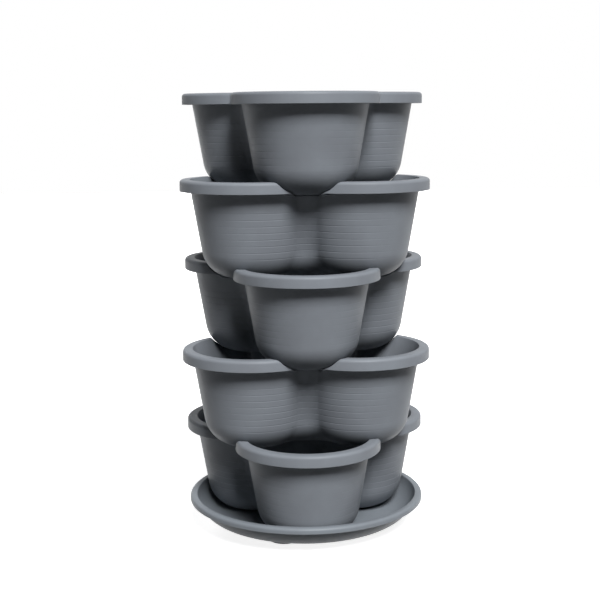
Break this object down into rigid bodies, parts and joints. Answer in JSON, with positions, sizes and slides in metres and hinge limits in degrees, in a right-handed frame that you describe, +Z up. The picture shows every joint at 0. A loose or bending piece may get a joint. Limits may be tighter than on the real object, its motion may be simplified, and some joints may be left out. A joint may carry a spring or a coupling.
{
  "type": "vertical planter tower",
  "caption": "Tower of three-lobed plastic planting pots, stacked crosswise by saddles in their rims, on a round footed saucer.",
  "frame": {"origin": "on the tower's axis, on the ground under the saucer's feet", "axes": "+Z up along the stack; -Y is the front, where the bottom, middle and top pots each have a lobe; +X is to the right seen from the front"},
  "size_m": [0.305, 0.3248, 0.5453],
  "materials": {
    "pot_plastic": "moulded slate-grey polypropylene, satin-matt",
    "saucer_plastic": "moulded slate-grey polypropylene, satin-matt"
  },
  "bodies": {
    "saucer": {"saucer": "saucer_plastic"},
    "pot_bottom": {"pot_bottom": "pot_plastic"},
    "pot_lower": {"pot_lower": "pot_plastic"},
    "pot_middle": {"pot_middle": "pot_plastic"},
    "pot_upper": {"pot_upper": "pot_plastic"},
    "pot_top": {"pot_top": "pot_plastic"}
  },
  "joints": [
    {"name": "lift_pot_bottom", "type": "slide", "parent": "saucer", "child": "pot_bottom", "axis": [0, 0, 1], "range_m": [0, 0.1]},
    {"name": "lift_pot_lower", "type": "slide", "parent": "pot_bottom", "child": "pot_lower", "axis": [0, 0, 1], "range_m": [0, 0.1]},
    {"name": "lift_pot_middle", "type": "slide", "parent": "pot_lower", "child": "pot_middle", "axis": [0, 0, 1], "range_m": [0, 0.1]},
    {"name": "lift_pot_upper", "type": "slide", "parent": "pot_middle", "child": "pot_upper", "axis": [0, 0, 1], "range_m": [0, 0.1]},
    {"name": "lift_pot_top", "type": "slide", "parent": "pot_upper", "child": "pot_top", "axis": [0, 0, 1], "range_m": [0, 0.1]}
  ]
}
